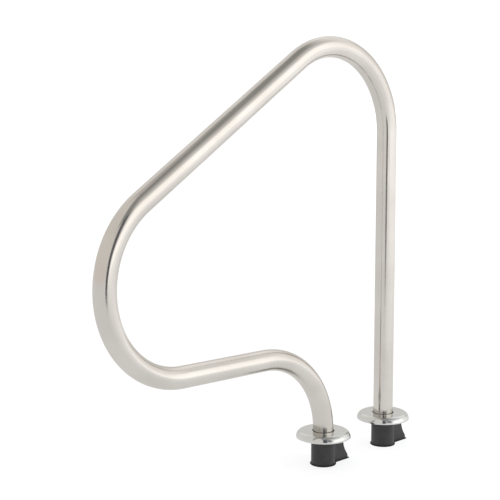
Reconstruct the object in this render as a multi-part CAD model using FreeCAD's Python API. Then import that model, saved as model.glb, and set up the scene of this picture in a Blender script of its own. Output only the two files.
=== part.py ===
"""Deck-mounted pool handrail: one bent stainless tube held in two wedge anchors sunk in a pool deck.

Frame: +Z up. The origin is on the front leg's axis at deck level. +X runs from the front leg to the
rear leg, away from the water, and the rail overhangs the pool towards -X. The rail lies in the plane Y = 0.
Everything below Z = 0 is buried in the deck. All lengths are in millimetres and all angles in degrees.

Each anchor is a plastic socket with a pocket beside its bore. A tapered wedge hangs in the pocket from a
bolt. The bolt's head and washer sit on the pocket's bridge, and turning it draws the wedge up the pocket's
sloping back wall and against the rail.
"""

import FreeCAD, Part

import math
import os

from FreeCAD import Vector

# ---- rail tube ----
TUBE_OD = 48.3
TUBE_WALL = 1.65
BEND_RADIUS = 203.2  # centreline, the same die for all three bends
FRONT_RISE = 14.0  # straight tube above the deck before the first bend
FRONT_BEND = 88.5
LOWER_RUN = 241.0  # straight tube reaching out over the water
WATER_BEND = 146.5
GRIP_RUN = 532.0  # straight sloping grip

# ---- anchor socket ----
SOCKET_DEPTH = 67.0  # deck level to the underside of the bottom cap
SOCKET_R = 28.6
BORE_GAP = 0.45  # radial, between the tube and the bore
LOBE_HALF = 14.3  # half-width of the housing round the pocket
LOBE_CORNER = 3.0
COLLAR_OUT = 3.0  # how far the top collar stands out
COLLAR_THICK = 3.0
# side outline of the housing's end wall, from the top down: (distance from the leg's axis, height)
LOBE_BELL = [(55.5, -18.0), (57.2, -29.0), (60.6, -39.0), (65.8, -48.5), (71.2, -56.5), (74.0, -65.0)]

# ---- bottom cap ----
CAP_FLANGE = 2.0
CAP_LIP = 2.5  # how far the cap stands out past the socket
CAP_SPIGOT = 3.0
CAP_FIT = 0.15
DRAIN_R = 4.0

# ---- wedge pocket ----
POCKET_HALF = 11.3
BRIDGE_TOP = -13.0
BRIDGE_THICK = 6.0
WEDGE_SLOPE = 15.0
POCKET_BACK_X = 49.0  # the sloping back wall, just under the bridge
RECESS_BACK_X = 51.5  # the wall beside the bolt head, above the bridge
SLOT_GAP = 0.5  # round the bolt in the bridge's slot

# ---- wedge, bolt and washer ----
WEDGE_HALF = 10.9
WEDGE_TOP = -22.0
WEDGE_HEIGHT = 30.0
WEDGE_GAP = 0.12  # to the tube and to the back wall, when tight
WEDGE_DROP = 7.9375  # how far the wedge comes down in five turns of the bolt
BOLT_X = 38.0
BOLT_R = 4.6  # mean radius of the 3/8 inch thread
BOLT_BORE_R = 4.68
BOLT_LENGTH = 44.45
HEAD_ACROSS_FLATS = 14.3
HEAD_HEIGHT = 6.0
HEAD_CHAMFER = 0.4
WASHER_R = 10.2
WASHER_HOLE_R = 5.15
WASHER_THICK = 1.65

# ---- escutcheon ----
COVER_R = 65.0
COVER_HEIGHT = 15.0
COVER_SHEET = 1.3
COVER_ROLL = 12.0  # width of the rounded-over rim
COVER_GAP = 2.35  # radial, between the tube and the hole
COVER_LIP = 5.0  # depth of the hole's edge, which is turned down

# ---- worked out ----
TUBE_R = TUBE_OD / 2.0
BORE_R = TUBE_R + BORE_GAP
BODY_BOTTOM = -SOCKET_DEPTH + CAP_FLANGE
CAP_TOP = BODY_BOTTOM + CAP_SPIGOT
TUBE_END = CAP_TOP + 0.2
BRIDGE_BOTTOM = BRIDGE_TOP - BRIDGE_THICK
WEDGE_BOTTOM = WEDGE_TOP - WEDGE_HEIGHT
BOLT_SEAT = BRIDGE_TOP + WASHER_THICK
SLOPE = math.tan(math.radians(WEDGE_SLOPE))
WEDGE_SHIFT = WEDGE_DROP * SLOPE
LOBE_TOP_X = LOBE_BELL[0][0]
LOBE_FOOT_X = LOBE_BELL[-1][0]
PAST = 1.0  # how far cutting tools run past the faces they cut


def rail_route():
    """The centreline as edges in the plane Y = 0, and the X of the rear leg."""
    edges = []
    point = Vector(0, 0, TUBE_END)
    heading = 90.0

    def towards(angle):
        return Vector(math.cos(math.radians(angle)), 0, math.sin(math.radians(angle)))

    def straight(length):
        nonlocal point
        end = point + towards(heading) * length
        edges.append(Part.LineSegment(point, end).toShape())
        point = end

    def bend(turn):
        """A positive turn goes from +X towards +Z."""
        nonlocal point, heading
        side = math.copysign(1.0, turn)
        centre = point + towards(heading + 90.0 * side) * BEND_RADIUS
        out = heading - 90.0 * side
        middle = centre + towards(out + turn / 2.0) * BEND_RADIUS
        end = centre + towards(out + turn) * BEND_RADIUS
        edges.append(Part.Arc(point, middle, end).toShape())
        point = end
        heading += turn

    straight(FRONT_RISE - TUBE_END)
    bend(FRONT_BEND)
    straight(LOWER_RUN)
    bend(-WATER_BEND)
    straight(GRIP_RUN)
    bend(-(heading + 90.0))
    rear_x = point.x
    straight(point.z - TUBE_END)
    return edges, rear_x


def swept(edges, radius):
    """A round bar along the edges."""
    start = edges[0].Vertexes[0].Point
    ring = Part.Wire(Part.makeCircle(radius, start, Vector(0, 0, 1)))
    return Part.Wire(edges).makePipeShell([ring], True, True)


def rail_tube(edges):
    return swept(edges, TUBE_R).cut(swept(edges, TUBE_R - TUBE_WALL))


def rim_curve(centre_x, across, height):
    """A quarter ellipse from the deck up to the flat top, in the plane Y = 0."""
    if across >= height:
        edge = Part.Ellipse(Vector(), across, height).toShape(0, math.pi / 2.0)
    else:
        edge = Part.Ellipse(Vector(), height, across).toShape(-math.pi / 2.0, 0)
        edge.rotate(Vector(), Vector(0, 0, 1), 90)
    edge.rotate(Vector(), Vector(1, 0, 0), 90)
    edge.translate(Vector(centre_x, 0, 0))
    return edge


def escutcheon():
    """A shallow pressed dish, open underneath, standing on its rim. The edge of its hole is turned down."""
    hole = TUBE_R + COVER_GAP
    flat_edge = COVER_R - COVER_ROLL
    under = COVER_HEIGHT - COVER_SHEET
    lip_foot = COVER_HEIGHT - COVER_LIP
    corners = [
        Vector(flat_edge, 0, COVER_HEIGHT),
        Vector(hole, 0, COVER_HEIGHT),
        Vector(hole, 0, lip_foot),
        Vector(hole + COVER_SHEET, 0, lip_foot),
        Vector(hole + COVER_SHEET, 0, under),
        Vector(flat_edge, 0, under),
    ]
    edges = [Part.LineSegment(a, b).toShape() for a, b in zip(corners, corners[1:])]
    edges.append(rim_curve(flat_edge, COVER_ROLL, COVER_HEIGHT))
    edges.append(rim_curve(flat_edge, COVER_ROLL - COVER_SHEET, under))
    edges.append(Part.LineSegment(Vector(COVER_R - COVER_SHEET, 0, 0), Vector(COVER_R, 0, 0)).toShape())
    face = Part.Face(Part.Wire(Part.__sortEdges__(edges)))
    return face.revolve(Vector(), Vector(0, 0, 1), 360)


def cylinder(radius, bottom, top, x=0.0):
    return Part.makeCylinder(radius, top - bottom, Vector(x, 0, bottom))


def side_prism(corners, half_width, curve=()):
    """Extrudes an outline in the plane Y = 0 to both sides. A smooth curve may close the corners."""
    edges = []
    if curve:
        spline = Part.BSplineCurve()
        spline.interpolate([Vector(x, 0, z) for x, z in curve])
        edges.append(spline.toShape())
        corners = [curve[-1]] + corners + [curve[0]]
    else:
        corners = corners + [corners[0]]
    for (x0, z0), (x1, z1) in zip(corners, corners[1:]):
        edges.append(Part.LineSegment(Vector(x0, 0, z0), Vector(x1, 0, z1)).toShape())
    face = Part.Face(Part.Wire(edges))
    face.translate(Vector(0, -half_width, 0))
    return face.extrude(Vector(0, 2.0 * half_width, 0))


def plan_prism(radius, tip_x, half_width, bottom, top):
    """The anchor's outline seen from above, a round body with a square-ended lobe, as an upright prism."""
    lobe = Part.makeBox(tip_x, 2 * half_width, top - bottom, Vector(0, -half_width, bottom))
    far_edges = [e for e in lobe.Edges
                 if abs(e.CenterOfMass.x - tip_x) < 1e-6 and abs(e.CenterOfMass.y) > half_width - 1e-6]
    lobe = lobe.makeFillet(LOBE_CORNER, far_edges)
    return cylinder(radius, bottom, top).fuse(lobe).removeSplitter()


def back_wall_x(z):
    """The sloping wall that the wedge runs up."""
    return POCKET_BACK_X + (BRIDGE_BOTTOM - z) * SLOPE


def socket_outside():
    """The socket before its bore and pocket are cut."""
    bell = side_prism([(-SOCKET_R - PAST, BODY_BOTTOM), (-SOCKET_R - PAST, PAST), (LOBE_TOP_X, PAST)],
                      SOCKET_R + PAST, LOBE_BELL)
    body = plan_prism(SOCKET_R, LOBE_FOOT_X, LOBE_HALF, BODY_BOTTOM, 0.0).common(bell)
    collar = plan_prism(SOCKET_R + COLLAR_OUT, LOBE_TOP_X + COLLAR_OUT, LOBE_HALF + COLLAR_OUT,
                        -COLLAR_THICK, 0.0)
    return body.fuse(collar).removeSplitter()


def anchor_socket():
    bore = cylinder(BORE_R, BODY_BOTTOM - PAST, PAST)
    low = BODY_BOTTOM - PAST
    pocket = side_prism([(0, low), (0, BRIDGE_BOTTOM), (POCKET_BACK_X, BRIDGE_BOTTOM),
                         (back_wall_x(low), low)], POCKET_HALF)
    recess = side_prism([(0, BRIDGE_TOP), (0, PAST), (RECESS_BACK_X, PAST),
                         (RECESS_BACK_X, BRIDGE_TOP)], POCKET_HALF)
    slot_r = BOLT_R + SLOT_GAP
    slot_low = BRIDGE_BOTTOM - PAST
    slot_high = BRIDGE_TOP + PAST
    slot = cylinder(slot_r, slot_low, slot_high, BOLT_X)
    slot = slot.fuse(cylinder(slot_r, slot_low, slot_high, BOLT_X + WEDGE_SHIFT))
    slot = slot.fuse(Part.makeBox(WEDGE_SHIFT, 2 * slot_r, slot_high - slot_low,
                                  Vector(BOLT_X, -slot_r, slot_low)))
    return socket_outside().cut(bore).cut(pocket).cut(recess).cut(slot)


def anchor_bottom_cap():
    """Closes the socket's foot: a thin flange, and a spigot that fills the bore and the pocket."""
    flange = plan_prism(SOCKET_R + CAP_LIP, LOBE_FOOT_X + CAP_LIP, LOBE_HALF + CAP_LIP,
                        -SOCKET_DEPTH, BODY_BOTTOM)
    half = POCKET_HALF - CAP_FIT
    spigot = cylinder(BORE_R - CAP_FIT, BODY_BOTTOM, CAP_TOP)
    spigot = spigot.fuse(Part.makeBox(back_wall_x(CAP_TOP) - CAP_FIT, 2 * half, CAP_SPIGOT,
                                      Vector(0, -half, BODY_BOTTOM)))
    cap = flange.fuse(spigot).removeSplitter()
    return cap.cut(cylinder(DRAIN_R, -SOCKET_DEPTH - PAST, CAP_TOP + PAST))


def clamp_wedge():
    """Hollowed in front to the tube's radius, sloped behind, with an upright bore for the bolt."""
    gap = WEDGE_GAP / math.cos(math.radians(WEDGE_SLOPE))
    front = TUBE_R / 2.0
    block = side_prism([(front, WEDGE_BOTTOM), (front, WEDGE_TOP),
                        (back_wall_x(WEDGE_TOP) - gap, WEDGE_TOP),
                        (back_wall_x(WEDGE_BOTTOM) - gap, WEDGE_BOTTOM)], WEDGE_HALF)
    seat = cylinder(TUBE_R + WEDGE_GAP, WEDGE_BOTTOM - PAST, WEDGE_TOP + PAST)
    bore = cylinder(BOLT_BORE_R, WEDGE_BOTTOM - PAST, WEDGE_TOP + PAST, BOLT_X)
    return block.cut(seat).cut(bore)


def wedge_bolt():
    """A hexagon-head bolt hanging from the washer, the corners of its head turned off."""
    flat = HEAD_ACROSS_FLATS / 2.0
    corner = flat / math.cos(math.radians(30))
    points = [Vector(BOLT_X + corner * math.cos(math.radians(60 * k)),
                     corner * math.sin(math.radians(60 * k)), BOLT_SEAT) for k in range(7)]
    head = Part.Face(Part.makePolygon(points)).extrude(Vector(0, 0, HEAD_HEIGHT))
    cone_rise = (corner - flat + HEAD_CHAMFER) * math.tan(math.radians(30))
    turned = cylinder(corner, BOLT_SEAT, BOLT_SEAT + HEAD_HEIGHT - cone_rise, BOLT_X)
    cone = Part.makeCone(corner, flat - HEAD_CHAMFER, cone_rise,
                         Vector(BOLT_X, 0, BOLT_SEAT + HEAD_HEIGHT - cone_rise))
    shank = cylinder(BOLT_R, BOLT_SEAT - BOLT_LENGTH, BOLT_SEAT, BOLT_X)
    return head.common(turned.fuse(cone)).fuse(shank).removeSplitter()


def bolt_washer():
    ring = cylinder(WASHER_R, BRIDGE_TOP, BOLT_SEAT, BOLT_X)
    return ring.cut(cylinder(WASHER_HOLE_R, BRIDGE_TOP - PAST, BOLT_SEAT + PAST, BOLT_X))


def write(node, shape):
    solids = shape.Solids
    if len(solids) != 1 or not solids[0].isValid():
        raise RuntimeError(f"{node} isn't one valid solid")
    solids[0].exportStep(f"parts/{node}.step")
    box = solids[0].BoundBox
    print(f"{node}: {solids[0].Volume / 1000:.1f} cm3, "
          f"{box.XLength:.1f} x {box.YLength:.1f} x {box.ZLength:.1f} mm")


def main():
    os.makedirs("parts", exist_ok=True)
    route, rear_x = rail_route()
    tube = rail_tube(route)
    length = sum(edge.Length for edge in route)
    section = math.pi * (TUBE_R**2 - (TUBE_R - TUBE_WALL) ** 2)
    print(f"rear leg at X {rear_x:.3f}, route {length:.1f} mm, "
          f"tube volume over section times length {tube.Volume / (section * length):.5f}")
    write("rail_tube", tube)
    for make in (escutcheon, anchor_socket, anchor_bottom_cap, clamp_wedge, wedge_bolt, bolt_washer):
        for leg, leg_x in (("front", 0.0), ("rear", rear_x)):
            shape = make()
            shape.translate(Vector(leg_x, 0, 0))
            write(f"{leg}_{make.__name__}", shape)


main()
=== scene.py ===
"""Looks for the deck-mounted pool handrail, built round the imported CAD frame. Metres, Z up."""

import math

import bmesh
import bpy
from mathutils import Matrix, Vector


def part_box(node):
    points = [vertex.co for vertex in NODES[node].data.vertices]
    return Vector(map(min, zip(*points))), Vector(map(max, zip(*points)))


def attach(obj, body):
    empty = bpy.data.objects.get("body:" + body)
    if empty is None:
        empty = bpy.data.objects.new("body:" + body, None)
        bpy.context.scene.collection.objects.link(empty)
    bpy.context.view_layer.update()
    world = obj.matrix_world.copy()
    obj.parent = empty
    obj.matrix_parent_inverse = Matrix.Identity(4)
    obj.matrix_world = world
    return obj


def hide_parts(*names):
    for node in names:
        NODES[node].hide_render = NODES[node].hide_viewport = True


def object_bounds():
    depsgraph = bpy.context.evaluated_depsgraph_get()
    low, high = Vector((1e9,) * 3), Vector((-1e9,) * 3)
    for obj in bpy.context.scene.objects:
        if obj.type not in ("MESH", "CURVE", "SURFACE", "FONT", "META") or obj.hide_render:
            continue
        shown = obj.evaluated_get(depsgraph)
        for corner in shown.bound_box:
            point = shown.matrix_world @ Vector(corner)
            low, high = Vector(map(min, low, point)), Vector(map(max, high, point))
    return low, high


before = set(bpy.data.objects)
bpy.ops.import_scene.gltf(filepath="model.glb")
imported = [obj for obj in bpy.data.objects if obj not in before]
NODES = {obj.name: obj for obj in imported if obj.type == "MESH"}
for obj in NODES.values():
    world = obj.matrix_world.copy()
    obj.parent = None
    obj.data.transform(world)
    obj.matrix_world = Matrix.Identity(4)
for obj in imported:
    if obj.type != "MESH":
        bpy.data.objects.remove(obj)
cad_low, cad_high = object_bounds()

LEGS = ("front", "rear")

# ---- the rail, as the CAD draws it ----
TUBE_R = 0.02415
TUBE_WALL = 0.00165
BEND_RADIUS = 0.2032
FRONT_RISE = 0.014  # from the deck to the first bend
FRONT_BEND = math.radians(88.5)
LOWER_RUN = 0.241
WATER_BEND = math.radians(146.5)
GRIP_RUN = 0.532

# ---- the escutcheons, as the CAD has them ----
COVER_SHEET = 0.0013
COVER_ROLL = 0.012  # width of the rounded-over rim
COVER_HOLE_R = TUBE_R + 0.00235
COVER_LIP = 0.005  # depth of the hole's turned-down edge

# ---- the bolts and washers, as the CAD has them ----
HEAD_FLAT = 0.00715  # half the head's width across flats
HEAD_CHAMFER = 0.0004
WASHER_HOLE_R = 0.00515
NECK_R = 0.0046
THREAD_PITCH = 0.0015875  # 3/8-16

# ---- detail that the CAD leaves out ----
SAWN_EASE = 0.0004  # the tube's sawn ends
FOLD_R = 0.0007  # top of the escutcheon's turned-down edge
LIP_EASE = 0.0002
SOCKET_EASE = 0.0006
CAP_EASE = 0.0005
WEDGE_EASE = 0.0008
HEAD_EASE = 0.0002
WASHER_OVER = 0.0004  # rounding of the washer's upper edges
WASHER_UNDER = 0.00015
THREAD_CREST_R = 0.00464
THREAD_ROOT_R = 0.0039
THREAD_TIP_R = 0.0033
NECK_LENGTH = 0.0115  # plain shank, from inside the head to the thread

# ---- how finely the meshes are cut ----
TUBE_AROUND = 88
BEND_STEP = math.radians(2.25)
COVER_AROUND = 160
ROLL_STEPS = 28
FOLD_STEPS = 4
HEAD_AROUND = 72
SHANK_AROUND = 36
WASHER_AROUND = 64
BEVEL_SEGMENTS = 3
WELD = 1e-6
TEXTURE_ROW = 0.001  # texture height of each row of a turned piece
CORNER_MIDDLE = 0.3  # how far in a rounded corner's middle point stands, as a part of its radius


# =====================================================================
# Node helpers
# =====================================================================
class Graph:
    """Short names for building a node tree."""

    def __init__(self, tree):
        self.tree = tree

    def node(self, kind, **settings):
        made = self.tree.nodes.new(kind)
        for key, value in settings.items():
            setattr(made, key, value)
        return made

    def put(self, value, socket):
        """Links an output, or sets a plain value."""
        if isinstance(value, bpy.types.NodeSocket):
            self.tree.links.new(value, socket)
        else:
            socket.default_value = value

    def math(self, operation, a, b=0.0):
        made = self.node("ShaderNodeMath", operation=operation)
        self.put(a, made.inputs[0])
        self.put(b, made.inputs[1])
        return made.outputs[0]

    def ramp(self, value, low, high, out_low=0.0, out_high=1.0, smooth=True):
        """Maps low..high to out_low..out_high and clamps."""
        made = self.node("ShaderNodeMapRange", clamp=True)
        made.interpolation_type = "SMOOTHSTEP" if smooth else "LINEAR"
        for socket, v in zip(made.inputs, (value, low, high, out_low, out_high)):
            self.put(v, socket)
        return made.outputs[0]

    def mix(self, amount, a, b):
        """Mixes two colours."""
        made = self.node("ShaderNodeMix", data_type="RGBA")
        self.put(amount, made.inputs[0])
        self.put(a, made.inputs[6])
        self.put(b, made.inputs[7])
        return made.outputs[2]

    def noise(self, where, scale, detail, rough):
        made = self.node("ShaderNodeTexNoise")
        self.put(where, made.inputs["Vector"])
        self.put(scale, made.inputs["Scale"])
        self.put(detail, made.inputs["Detail"])
        self.put(rough, made.inputs["Roughness"])
        return made.outputs[0]

    def dot(self, where, axis):
        made = self.node("ShaderNodeVectorMath", operation="DOT_PRODUCT")
        self.put(where, made.inputs[0])
        made.inputs[1].default_value = axis
        return made.outputs["Value"]

    def scaled(self, where, xyz):
        made = self.node("ShaderNodeMapping")
        self.put(where, made.inputs["Vector"])
        made.inputs["Scale"].default_value = xyz
        return made.outputs[0]

    def bump(self, height, distance, strength):
        made = self.node("ShaderNodeBump")
        self.put(height, made.inputs["Height"])
        self.put(distance, made.inputs["Distance"])
        self.put(strength, made.inputs["Strength"])
        return made.outputs[0]


def material(name):
    """A new material, its graph and its shader."""
    made = bpy.data.materials.new(name)
    made.use_nodes = True
    graph = Graph(made.node_tree)
    shader = made.node_tree.nodes["Principled BSDF"]
    return made, graph, shader


def coords(graph, kind="Object"):
    """The piece's own place in metres, or its UV map."""
    return graph.node("ShaderNodeTexCoord").outputs[kind]


# =====================================================================
# Materials
# =====================================================================
def polished_tube_material():
    """Satin-polished stainless: belt marks run round the tube, so reflections smear along it."""
    made, g, shader = material("rail_polished_stainless")
    uv = coords(g, "UV")
    marks = g.noise(g.scaled(uv, (1400.0, 6.0, 1.0)), 1.0, 3.0, 0.65)
    broad = g.noise(g.scaled(uv, (22.0, 5.0, 1.0)), 1.0, 2.0, 0.5)
    cloud = g.noise(coords(g), 9.0, 3.0, 0.55)
    colour = g.mix(g.ramp(cloud, 0.35, 0.65), (0.535, 0.508, 0.475, 1), (0.575, 0.548, 0.515, 1))
    g.put(colour, shader.inputs["Base Color"])
    rough = g.math("ADD", g.ramp(marks, 0.3, 0.7, 0.13, 0.20), g.ramp(broad, 0.3, 0.7, -0.015, 0.02))
    g.put(rough, shader.inputs["Roughness"])
    shader.inputs["Metallic"].default_value = 1.0
    shader.inputs["Anisotropic"].default_value = 0.45
    shader.inputs["Specular Tint"].default_value = (0.86, 0.85, 0.84, 1)
    tangent = g.node("ShaderNodeTangent", direction_type="UV_MAP", uv_map="along")
    g.put(tangent.outputs[0], shader.inputs["Tangent"])
    g.put(g.bump(marks, 0.000004, 0.35), shader.inputs["Normal"])
    return made


def polished_cover_material():
    """Mirror-polished pressing with faint lathe marks round its axis."""
    made, g, shader = material("cover_polished_stainless")
    uv = coords(g, "UV")
    rings = g.noise(g.scaled(uv, (3.0, 900.0, 1.0)), 1.0, 2.0, 0.6)
    cloud = g.noise(coords(g), 28.0, 3.0, 0.55)
    colour = g.mix(g.ramp(cloud, 0.35, 0.65), (0.555, 0.560, 0.550, 1), (0.590, 0.596, 0.586, 1))
    g.put(colour, shader.inputs["Base Color"])
    g.put(g.ramp(rings, 0.3, 0.7, 0.08, 0.14), shader.inputs["Roughness"])
    shader.inputs["Metallic"].default_value = 1.0
    shader.inputs["Specular Tint"].default_value = (0.88, 0.88, 0.87, 1)
    g.put(g.bump(rings, 0.000003, 0.3), shader.inputs["Normal"])
    return made


def underside_painted_shade_material():
    """The cover's unpolished inside: dull and streaked outwards, its colour painted dark as painted shade
    in the gap round the tube.
    """
    made, g, shader = material("cover_underside_painted_shade")
    uv = coords(g, "UV")
    streaks = g.noise(g.scaled(uv, (160.0, 30.0, 1.0)), 1.0, 3.0, 0.6)
    cloud = g.noise(coords(g), 60.0, 4.0, 0.6)
    # painted shade: a base colour far darker than the polished steel, so the hole's edge reads as the
    # shadowed gap round the tube
    colour = g.mix(g.ramp(cloud, 0.3, 0.7), (0.13, 0.127, 0.12, 1), (0.20, 0.197, 0.19, 1))
    g.put(colour, shader.inputs["Base Color"])
    shader.inputs["Metallic"].default_value = 1.0
    g.put(g.ramp(streaks, 0.3, 0.7, 0.42, 0.60), shader.inputs["Roughness"])
    g.put(g.bump(streaks, 0.00002, 0.4), shader.inputs["Normal"])
    return made


def moulded_plastic_material(name, low, high):
    """Black moulded plastic: a fine spark-eroded grain, and a colour that drifts from low to high."""
    made, g, shader = material(name)
    where = coords(g)
    fine = g.noise(where, 1500.0, 3.0, 0.6)
    cloud = g.noise(where, 45.0, 3.0, 0.55)
    g.put(g.mix(g.ramp(cloud, 0.35, 0.65), low, high), shader.inputs["Base Color"])
    g.put(g.ramp(fine, 0.3, 0.7, 0.48, 0.62), shader.inputs["Roughness"])
    shader.inputs["Specular IOR Level"].default_value = 0.4
    g.put(g.bump(fine, 0.00003, 0.6), shader.inputs["Normal"])
    return made


def cast_bronze_material():
    """Sand-cast bronze, dull and pitted, with brown in its hollows."""
    made, g, shader = material("wedge_cast_bronze")
    where = coords(g)
    sand = g.noise(where, 900.0, 4.0, 0.6)
    stain = g.noise(where, 130.0, 5.0, 0.65)
    skin = g.mix(g.ramp(stain, 0.3, 0.7), (0.34, 0.215, 0.10, 1), (0.47, 0.315, 0.15, 1))
    g.put(g.mix(g.ramp(sand, 0.55, 0.75, 0.0, 0.55), skin, (0.20, 0.12, 0.055, 1)),
          shader.inputs["Base Color"])
    shader.inputs["Metallic"].default_value = 1.0
    g.put(g.ramp(sand, 0.3, 0.7, 0.36, 0.55), shader.inputs["Roughness"])
    g.put(g.bump(sand, 0.00012, 0.7), shader.inputs["Normal"])
    return made


def fastener_material(name, colour):
    """Plain machined stainless."""
    made, g, shader = material(name)
    where = coords(g)
    tool = g.noise(g.scaled(where, (250.0, 250.0, 3000.0)), 1.0, 3.0, 0.6)
    cloud = g.noise(where, 120.0, 3.0, 0.5)
    darker = tuple(0.86 * c for c in colour[:3]) + (1,)
    g.put(g.mix(g.ramp(cloud, 0.35, 0.65), darker, colour), shader.inputs["Base Color"])
    shader.inputs["Metallic"].default_value = 1.0
    g.put(g.ramp(tool, 0.3, 0.7, 0.22, 0.36), shader.inputs["Roughness"])
    g.put(g.bump(tool, 0.00001, 0.5), shader.inputs["Normal"])
    return made


# =====================================================================
# Mesh helpers
# =====================================================================
def piece_from(name, bm, look, smooth_angle=None):
    """Turns a bmesh into a linked object. Edges sharper than smooth_angle stay crisp."""
    mesh = bpy.data.meshes.new(name)
    bm.normal_update()
    bm.to_mesh(mesh)
    bm.free()
    mesh.materials.append(look)
    made = bpy.data.objects.new(name, mesh)
    bpy.context.scene.collection.objects.link(made)
    for polygon in mesh.polygons:
        polygon.use_smooth = True
    if smooth_angle is not None:
        mesh.set_sharp_from_angle(angle=smooth_angle)
    return made


def centre_x(node):
    low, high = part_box(node)
    return (low.x + high.x) / 2.0


def turn_angles(count):
    """Evenly spaced angles once round a circle."""
    return [2.0 * math.pi * j / count for j in range(count)]


def quarter_angles(steps):
    """Angles from 0 to 90 degrees, both ends included."""
    return [math.pi / 2.0 * step / steps for step in range(steps + 1)]


def grid_faces(bm, rows, uv_layer, uv_of, closed=False):
    """Quads between rings of vertices. uv_of(i, j) gives a corner's place in the texture."""
    pairs = len(rows) if closed else len(rows) - 1
    around = len(rows[0])
    for i in range(pairs):
        low, high = rows[i], rows[(i + 1) % len(rows)]
        for j in range(around):
            k = (j + 1) % around
            face = bm.faces.new((low[j], low[k], high[k], high[j]))
            corners = ((i, j), (i, j + 1), (i + 1, j + 1), (i + 1, j))
            for loop, (a, b) in zip(face.loops, corners):
                loop[uv_layer].uv = uv_of(a, b)


# =====================================================================
# Pieces
# =====================================================================
def rail_stations(tube_end):
    """(place, heading, distance) along the rail's centreline, close together in the bends."""
    stations = []
    place = Vector((0.0, 0.0, tube_end))
    heading = math.pi / 2.0
    distance = 0.0

    def towards(angle):
        return Vector((math.cos(angle), 0.0, math.sin(angle)))

    def straight(length, steps):
        nonlocal place, distance
        start = place.copy()
        for step in range(steps):
            part = length * step / steps
            stations.append((start + towards(heading) * part, heading, distance + part))
        place = start + towards(heading) * length
        distance += length

    def bend(turn):
        nonlocal place, heading, distance
        side = math.copysign(1.0, turn)
        centre = place + towards(heading + side * math.pi / 2.0) * BEND_RADIUS
        out = heading - side * math.pi / 2.0
        steps = round(abs(turn) / BEND_STEP)
        for step in range(steps):
            part = turn * step / steps
            stations.append((centre + towards(out + part) * BEND_RADIUS, heading + part,
                             distance + abs(part) * BEND_RADIUS))
        place = centre + towards(out + turn) * BEND_RADIUS
        heading += turn
        distance += abs(turn) * BEND_RADIUS

    straight(FRONT_RISE - tube_end, steps=4)
    bend(FRONT_BEND)
    straight(LOWER_RUN, steps=6)
    bend(-WATER_BEND)
    straight(GRIP_RUN, steps=12)
    bend(-(heading + math.pi / 2.0))
    straight(place.z - tube_end, steps=18)
    stations.append((place, heading, distance))
    return stations


def rail():
    """The bent tube with its bore, its two sawn ends slightly eased."""
    stations = rail_stations(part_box("rail_tube")[0].z)
    ease = SAWN_EASE
    inner = TUBE_R - TUBE_WALL
    bm = bmesh.new()
    uv_layer = bm.loops.layers.uv.new("along")

    def ring(place, heading, radius):
        side = Vector((-math.sin(heading), 0.0, math.cos(heading)))
        across = Vector((0.0, 1.0, 0.0))
        return [bm.verts.new(place + (side * math.cos(t) + across * math.sin(t)) * radius)
                for t in turn_angles(TUBE_AROUND)]

    first, last = stations[0], stations[-1]
    up = Vector((0.0, 0.0, ease))
    outline = [(first[0], first[1], inner + ease), (first[0], first[1], TUBE_R - ease),
               (first[0] + up, first[1], TUBE_R)]
    outline += [(p, h, TUBE_R) for p, h, d in stations[1:-1]]
    outline += [(last[0] + up, last[1], TUBE_R), (last[0], last[1], TUBE_R - ease),
                (last[0], last[1], inner + ease), (last[0] + up, last[1], inner)]
    outline += [(p, h, inner) for p, h, d in reversed(stations[1:-1])]
    outline += [(first[0] + up, first[1], inner)]
    rows = [ring(*entry) for entry in outline]
    travel = [0.0]
    for (p, h, r), (q, k, s) in zip(outline, outline[1:] + outline[:1]):
        travel.append(travel[-1] + math.hypot((q - p).length, s - r))
    grid_faces(bm, rows, uv_layer, lambda i, j: (travel[i], j / TUBE_AROUND), closed=True)
    bmesh.ops.recalc_face_normals(bm, faces=bm.faces)
    made = piece_from("rail_tube_polished", bm, polished_tube_material(), math.radians(35))
    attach(made, "rail")
    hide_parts("rail_tube")


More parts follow.
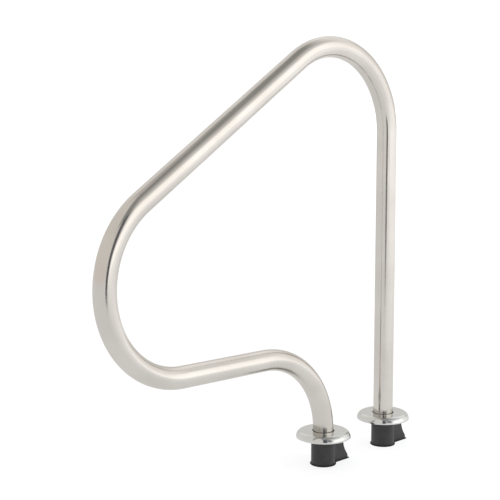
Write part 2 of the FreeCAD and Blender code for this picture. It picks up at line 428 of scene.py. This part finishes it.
def cover(leg, look, painted_shade_inside_look):
    """The pressed escutcheon, turned from its section: a rounded rim, and a hole whose edge is turned down.

    Its inside and the hole's edge take the second look, which paints them dark with painted shade.
    """
    node = f"{leg}_escutcheon"
    low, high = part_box(node)
    axis_x = centre_x(node)
    height = high.z - low.z
    under = height - COVER_SHEET
    lip_foot = height - COVER_LIP
    lip_back_r = COVER_HOLE_R + COVER_SHEET
    flat_r = (high.x - low.x) / 2.0 - COVER_ROLL
    section = []
    for t in quarter_angles(ROLL_STEPS):
        section.append((flat_r + COVER_ROLL * math.cos(t), height * math.sin(t)))
    for t in quarter_angles(FOLD_STEPS):
        section.append((COVER_HOLE_R + FOLD_R * (1 - math.sin(t)), height - FOLD_R * (1 - math.cos(t))))
    # from the hole's edge round the inside, the rows take the look painted dark with painted shade
    first_painted_shade_row = len(section) - 1
    section += [(COVER_HOLE_R, lip_foot + LIP_EASE), (COVER_HOLE_R + LIP_EASE, lip_foot)]
    section += [(lip_back_r - LIP_EASE, lip_foot), (lip_back_r, lip_foot + LIP_EASE), (lip_back_r, under)]
    for t in reversed(quarter_angles(ROLL_STEPS)):
        section.append((flat_r + (COVER_ROLL - COVER_SHEET) * math.cos(t), under * math.sin(t)))
    last_painted_shade_row = len(section) - 2
    bm = bmesh.new()
    uv_layer = bm.loops.layers.uv.new("along")
    rows = []
    for r, z in section:
        rows.append([bm.verts.new((axis_x + r * math.cos(t), r * math.sin(t), low.z + z))
                     for t in turn_angles(COVER_AROUND)])
    grid_faces(bm, rows, uv_layer,
               lambda i, j: (j / COVER_AROUND, section[i % len(section)][0]), closed=True)
    bmesh.ops.recalc_face_normals(bm, faces=bm.faces)
    made = piece_from(f"{leg}_escutcheon_polished", bm, look, math.radians(40))
    made.data.materials.append(painted_shade_inside_look)
    # the hole's edge and the inside get the look painted dark with painted shade
    for polygon in made.data.polygons:
        if first_painted_shade_row <= polygon.index // COVER_AROUND <= last_painted_shade_row:
            polygon.material_index = 1
    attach(made, f"{leg}_cover")
    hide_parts(node)


def eased_copy(node, body, look, width):
    """The CAD node's own shape with its corners rounded."""
    bm = bmesh.new()
    bm.from_mesh(NODES[node].data)
    bmesh.ops.remove_doubles(bm, verts=bm.verts, dist=WELD)
    bmesh.ops.dissolve_limit(bm, angle_limit=math.radians(1.0), verts=bm.verts, edges=bm.edges)
    made = piece_from(f"{node}_eased", bm, look)
    bevel = made.modifiers.new("corners", "BEVEL")
    bevel.width = width
    bevel.segments = BEVEL_SEGMENTS
    bevel.limit_method = "ANGLE"
    bevel.angle_limit = math.radians(38)
    bevel.use_clamp_overlap = True
    bevel.harden_normals = False
    made.data.set_sharp_from_angle(angle=math.radians(50))
    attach(made, body)
    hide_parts(node)


def rings_between(bm, uv_layer, section, around, axis_x, closed):
    """Turns (radius, height) pairs about an upright axis. Either may be a function of the angle."""
    rows = []
    for radius, height in section:
        row = []
        for t in turn_angles(around):
            r = radius(t) if callable(radius) else radius
            z = height(t) if callable(height) else height
            row.append(bm.verts.new((axis_x + r * math.cos(t), r * math.sin(t), z)))
        rows.append(row)
    grid_faces(bm, rows, uv_layer, lambda i, j: (j / around, TEXTURE_ROW * i), closed=closed)
    return rows


def hex_head(bm, uv_layer, axis_x, low, high):
    """A hexagon head: its corners turned off to a 30 degree cone, its lower edge just eased."""
    face_angle = math.radians(60)
    cone_slope = math.tan(math.radians(30))
    turned = HEAD_FLAT - HEAD_CHAMFER

    def corner(t, inset=0.0):
        return (HEAD_FLAT - inset) / math.cos((t % face_angle) - face_angle / 2.0)

    def shoulder(t):
        return high - (corner(t) - turned) * cone_slope

    top_ring = 0.7 * turned
    section = [(lambda t: corner(t, HEAD_EASE), low), (corner, low + HEAD_EASE), (corner, shoulder),
               (turned, high), (top_ring, high)]
    rows = rings_between(bm, uv_layer, section, HEAD_AROUND, axis_x, closed=False)
    bm.faces.new(rows[0])
    bm.faces.new(rows[-1])


def threaded_shank(bm, axis_x, low, high):
    """A plain neck over a thread with a pointed tip, as one closed shell wound as one long helix."""
    around = SHANK_AROUND
    thread_top = high - NECK_LENGTH
    # one turn of the thread: (part of the pitch, radius)
    profile = ((0.0, THREAD_ROOT_R), (0.28, THREAD_ROOT_R), (0.44, THREAD_CREST_R), (0.84, THREAD_CREST_R))
    run_out = 0.35  # slope at which the thread grows out of the neck

    def ring(height_at, radius_at):
        row = []
        for j, t in enumerate(turn_angles(around)):
            z = min(max(height_at(j), low), thread_top)
            r = radius_at(z)
            row.append(bm.verts.new((axis_x + r * math.cos(t), r * math.sin(t), z)))
        return row

    def radius_near(wound, z):
        """The thread's radius, cut to the neck at its top and to a point at its foot."""
        return min(max(wound, NECK_R - (thread_top - z) * run_out), THREAD_TIP_R + z - low)

    rows = []
    turn = -1
    while low + (turn - 2) * THREAD_PITCH < thread_top:
        for step, wound in profile:
            rows.append(ring(lambda j: low + (turn + step + j / around) * THREAD_PITCH,
                             lambda z: radius_near(wound, z)))
        turn += 1
    per_turn = len(profile)
    for i in range(len(rows) - 1):
        seam = per_turn if i + 1 + per_turn < len(rows) else 0
        for j in range(around):
            k = (j + 1) % around
            over = seam if k == 0 else 0
            bm.faces.new((rows[i][j], rows[i + over][k], rows[i + 1 + over][k], rows[i + 1][j]))
    top = [bm.verts.new((v.co.x, v.co.y, high)) for v in rows[-1]]
    for j in range(around):
        k = (j + 1) % around
        bm.faces.new((rows[-1][j], rows[-1][k], top[k], top[j]))
    bm.faces.new(top)
    bm.faces.new(rows[0])
    weld = WELD / 10.0
    bmesh.ops.remove_doubles(bm, verts=[v for row in rows for v in row], dist=weld)
    bmesh.ops.dissolve_degenerate(bm, edges=bm.edges, dist=weld)


def wedge_bolt(leg, look):
    """The hexagon-head bolt: two closed shells, the head and the threaded shank that runs up into it."""
    node = f"{leg}_wedge_bolt"
    low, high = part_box(node)
    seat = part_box(f"{leg}_bolt_washer")[1].z
    bm = bmesh.new()
    uv_layer = bm.loops.layers.uv.new("along")
    hex_head(bm, uv_layer, centre_x(node), seat, high.z)
    inside_head = 0.001
    threaded_shank(bm, centre_x(node), low.z, seat + inside_head)
    bmesh.ops.recalc_face_normals(bm, faces=bm.faces)
    made = piece_from(f"{node}_threaded", bm, look, math.radians(28))
    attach(made, f"{leg}_bolt")
    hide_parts(node)


def bolt_washer(leg, look):
    """A stamped washer: rounded over on top, a sharper break below."""
    node = f"{leg}_bolt_washer"
    low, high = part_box(node)
    outer = (high.x - low.x) / 2.0
    hole = WASHER_HOLE_R
    over, under = WASHER_OVER, WASHER_UNDER
    middle = CORNER_MIDDLE * over
    section = [(outer - under, low.z), (outer, low.z + under), (outer, high.z - over),
               (outer - middle, high.z - middle), (outer - over, high.z),
               (hole + over, high.z), (hole + middle, high.z - middle), (hole, high.z - over),
               (hole, low.z + under), (hole + under, low.z)]
    bm = bmesh.new()
    uv_layer = bm.loops.layers.uv.new("along")
    rings_between(bm, uv_layer, section, WASHER_AROUND, centre_x(node), closed=True)
    bmesh.ops.recalc_face_normals(bm, faces=bm.faces)
    made = piece_from(f"{node}_stamped", bm, look, math.radians(30))
    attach(made, f"{leg}_washer")
    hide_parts(node)


# =====================================================================
# Stage
# =====================================================================
VIEW_YAW = 0.7702  # radians, from +Y towards +X
VIEW_PITCH = 0.1466  # radians, downwards
VIEW_ROLL = 0.0028
VIEW_PLACE = Vector((-2.0324, -1.8473, 0.8519))
LENS = 86.0  # millimetres, on a sensor SENSOR wide
SENSOR = 36.0

UP = Vector((0.0, 0.0, 1.0))
ACROSS = Vector((math.cos(VIEW_YAW), -math.sin(VIEW_YAW), 0.0))  # level, to the viewer's right
AHEAD = Vector((math.sin(VIEW_YAW), math.cos(VIEW_YAW), 0.0))  # level, away from the viewer

# ---- the studio's colours, as the light that each surface sends out ----
PALE_WALL = (0.94, 0.925, 0.90, 1)
CREAM_WALL = (1.00, 0.965, 0.925, 1)
FAR_WALL = (1.16, 1.15, 1.12, 1)
FAR_WALL_MIDDLE = (1.34, 1.33, 1.31, 1)
FAR_WALL_RIGHT = (1.24, 1.23, 1.21, 1)
NEAR_WALL = (1.32, 1.30, 1.27, 1)
NEAR_CEILING = (0.42, 0.42, 0.41, 1)
CEILING = (0.42, 0.42, 0.405, 1)
FAR_CEILING = (0.33, 0.33, 0.32, 1)
VIEWER_CEILING = (0.38, 0.38, 0.375, 1)
SOFT_BOX = (1.80, 1.79, 1.76, 1)
SOFT_BOX_CORE = (1.90, 1.885, 1.85, 1)
DARK_GAP = (0.32, 0.335, 0.36, 1)
BACKDROP = (1.06, 1.06, 1.06, 1)
FLOOR_GLOW = (0.985, 0.99, 1.0, 1)
CARD_FOOT = (0.28, 0.287, 0.30, 1)
CARD_HEAD = (0.12, 0.127, 0.14, 1)

FLOOR_RADIUS = 30.0
FLOOR_DROP = 0.0003  # under the anchors' feet
CARD_WIDTH = 0.56
CARD_HEIGHT = 2.3
CARD_RIGHT = 0.15
CARD_NEAR = 1.915  # from the front leg towards the viewer


def camera():
    """The camera, level but for a trace of roll, looking a little down on the rail."""
    data = bpy.data.cameras.new("camera")
    data.sensor_width = SENSOR
    data.lens = LENS
    made = bpy.data.objects.new("camera", data)
    look = AHEAD * math.cos(VIEW_PITCH) - UP * math.sin(VIEW_PITCH)
    up = ACROSS.cross(look)
    turned_right = ACROSS * math.cos(VIEW_ROLL) - up * math.sin(VIEW_ROLL)
    turned_up = up * math.cos(VIEW_ROLL) + ACROSS * math.sin(VIEW_ROLL)
    turn = Matrix((turned_right, turned_up, -look)).transposed().to_4x4()
    made.matrix_world = Matrix.Translation(VIEW_PLACE) @ turn
    bpy.context.scene.collection.objects.link(made)
    bpy.context.scene.camera = made


def studio_light(g):
    """The colour of the studio by direction. Angles are in degrees."""
    where = g.node("ShaderNodeTexCoord").outputs["Generated"]
    right = g.dot(where, ACROSS)
    back = g.dot(where, -AHEAD)
    up = g.dot(where, UP)
    # azimuth is 0 towards the viewer's side and grows to the viewer's right
    azimuth = g.math("DEGREES", g.math("ARCTAN2", right, back))
    elevation = g.math("DEGREES", g.math("ARCSINE", up))
    # places on a level ceiling, as parts of its height: to the right, and towards the viewer
    height = g.math("MAXIMUM", up, 0.05)
    ceiling_right = g.math("DIVIDE", right, height)
    ceiling_near = g.math("DIVIDE", back, height)
    # the dark part of the ceiling ends a little left of the object, except on the far side
    ceiling = g.ramp(ceiling_right, -0.165, -0.085)
    ceiling = g.math("MAXIMUM", ceiling, g.ramp(ceiling_near, -0.20, -0.12, 1.0, 0.0))

    def band(value, low, high, soft_low, soft_high):
        rise = g.ramp(value, low - soft_low / 2.0, low + soft_low / 2.0)
        fall = g.ramp(value, high - soft_high / 2.0, high + soft_high / 2.0, 1.0, 0.0)
        return g.math("MULTIPLY", rise, fall)

    def patch(under, az, az_soft, el, el_soft, colour, turn=azimuth):
        """Paints a rectangle of directions over what is under it. Each edge has its own softness."""
        mask = g.math("MULTIPLY", band(turn, *az, *az_soft), band(elevation, *el, *el_soft))
        return g.mix(mask, under, colour)

    light = patch(PALE_WALL, (-150, 30), (40, 20), (-95, 120), (1, 1), CREAM_WALL)
    # far wall, brighter towards its top
    either_side = g.math("ABSOLUTE", azimuth)
    light = patch(light, (140, 200), (16, 10), (28, 50), (10, 12), FAR_WALL, either_side)
    light = patch(light, (146, 186), (16, 10), (27, 52), (10, 12), FAR_WALL_MIDDLE)
    light = patch(light, (112, 160), (24, 20), (30, 54), (16, 12), FAR_WALL_RIGHT)
    # bright wall beside the viewer, under a ceiling that darkens overhead
    light = patch(light, (46, 128), (40, 24), (-40, 100), (60, 1), NEAR_WALL)
    dimmed = g.math("MULTIPLY", band(azimuth, 40, 122, 40, 30), g.ramp(elevation, 28, 76, smooth=False))
    light = g.mix(dimmed, light, NEAR_CEILING)
    dimmed = g.math("MULTIPLY", band(azimuth, -40, 36, 1, 30), g.ramp(elevation, 38, 52))
    light = g.mix(g.math("MULTIPLY", dimmed, ceiling), light, VIEWER_CEILING)
    shade = g.mix(g.ramp(ceiling_near, -0.30, -0.08), FAR_CEILING, CEILING)
    light = g.mix(g.math("MULTIPLY", g.ramp(elevation, 58, 78), ceiling), light, shade)
    # main soft box, its brightest part, and the dark gap beside it
    light = patch(light, (44, 98), (18, 24), (-10, 36), (16, 20), SOFT_BOX)
    light = patch(light, (35, 58), (8, 24), (-9, 12), (14, 20), SOFT_BOX_CORE)
    return patch(light, (12, 35), (8, 9), (12, 46), (12, 12), DARK_GAP)


def studio_world():
    """A plain white backdrop, with the studio's walls and lights for the steel to reflect."""
    world = bpy.data.worlds.new("studio")
    world.use_nodes = True
    bpy.context.scene.world = world
    g = Graph(world.node_tree)
    world.node_tree.nodes.clear()
    background = g.node("ShaderNodeBackground")
    g.put(studio_light(g), background.inputs["Color"])
    plain = g.node("ShaderNodeBackground")
    plain.inputs["Color"].default_value = BACKDROP
    choose = g.node("ShaderNodeMixShader")
    g.put(g.node("ShaderNodeLightPath").outputs["Is Camera Ray"], choose.inputs[0])
    g.put(background.outputs[0], choose.inputs[1])
    g.put(plain.outputs[0], choose.inputs[2])
    output = g.node("ShaderNodeOutputWorld")
    g.put(choose.outputs[0], output.inputs[0])


def studio_floor():
    """A large white floor that glows a little, as a lit table does; its glow is painted brighter beside the
    soft box, a painted pool of light.
    """
    bm = bmesh.new()
    bmesh.ops.create_circle(bm, cap_ends=True, segments=128, radius=FLOOR_RADIUS)
    made, g, shader = material("floor_white")
    where = coords(g)
    cloud = g.noise(where, 0.7, 2.0, 0.5)
    g.put(g.mix(cloud, (0.25, 0.25, 0.25, 1), (0.27, 0.27, 0.27, 1)), shader.inputs["Base Color"])
    shader.inputs["Roughness"].default_value = 0.9
    shader.inputs["Specular IOR Level"].default_value = 0.0
    beside = g.dot(where, ACROSS)
    # painted light: the floor's emission grows towards the viewer's right, beside the soft box
    glow = g.math("ADD", g.ramp(beside, -0.3, 1.4, 0.80, 1.0), g.ramp(beside, 1.6, 3.4, 0.0, 0.25))
    g.put(FLOOR_GLOW, shader.inputs["Emission Color"])
    g.put(glow, shader.inputs["Emission Strength"])
    floor = piece_from("floor", bm, made)
    floor.location.z = cad_low.z - FLOOR_DROP


def dark_card():
    """The dark gap beside the viewer that draws a thin line down the polished tube."""
    foot = ACROSS * CARD_RIGHT - AHEAD * CARD_NEAR
    half = ACROSS * (CARD_WIDTH / 2.0)
    head = foot + UP * CARD_HEIGHT
    bm = bmesh.new()
    bm.faces.new([bm.verts.new(c) for c in (foot - half, foot + half, head + half, head - half)])
    made, g, shader = material("card_dark")
    shader.inputs["Base Color"].default_value = (0.0, 0.0, 0.0, 1)
    shader.inputs["Specular IOR Level"].default_value = 0.0
    place = g.node("ShaderNodeSeparateXYZ")
    g.put(coords(g), place.inputs[0])
    above_foot = g.ramp(place.outputs["Z"], 0.0, 0.5)
    g.put(g.mix(above_foot, CARD_FOOT, CARD_HEAD), shader.inputs["Emission Color"])
    shader.inputs["Emission Strength"].default_value = 1.0
    card = piece_from("dark_card", bm, made)
    card.visible_camera = False
    card.visible_diffuse = False
    card.visible_shadow = False


# =====================================================================
# Build
# =====================================================================
camera()
studio_world()
studio_floor()
dark_card()
bpy.context.scene.view_settings.view_transform = "Standard"

rail()
cover_look = polished_cover_material()
# painted shade for the covers' insides and hole edges
underside_painted_shade_look = underside_painted_shade_material()
socket_look = moulded_plastic_material("anchor_moulded_plastic",
                                       (0.0190, 0.0193, 0.0205, 1), (0.0270, 0.0273, 0.0290, 1))
cap_look = moulded_plastic_material("cap_moulded_plastic",
                                    (0.0120, 0.0122, 0.0130, 1), (0.0180, 0.0182, 0.0195, 1))
bronze_look = cast_bronze_material()
bolt_look = fastener_material("bolt_stainless", (0.60, 0.59, 0.57, 1))
washer_look = fastener_material("washer_stainless", (0.66, 0.655, 0.64, 1))
for leg in LEGS:
    cover(leg, cover_look, underside_painted_shade_look)
    eased_copy(f"{leg}_anchor_socket", "anchors", socket_look, SOCKET_EASE)
    eased_copy(f"{leg}_anchor_bottom_cap", "anchors", cap_look, CAP_EASE)
    eased_copy(f"{leg}_clamp_wedge", f"{leg}_wedge", bronze_look, WEDGE_EASE)
    wedge_bolt(leg, bolt_look)
    bolt_washer(leg, washer_look)
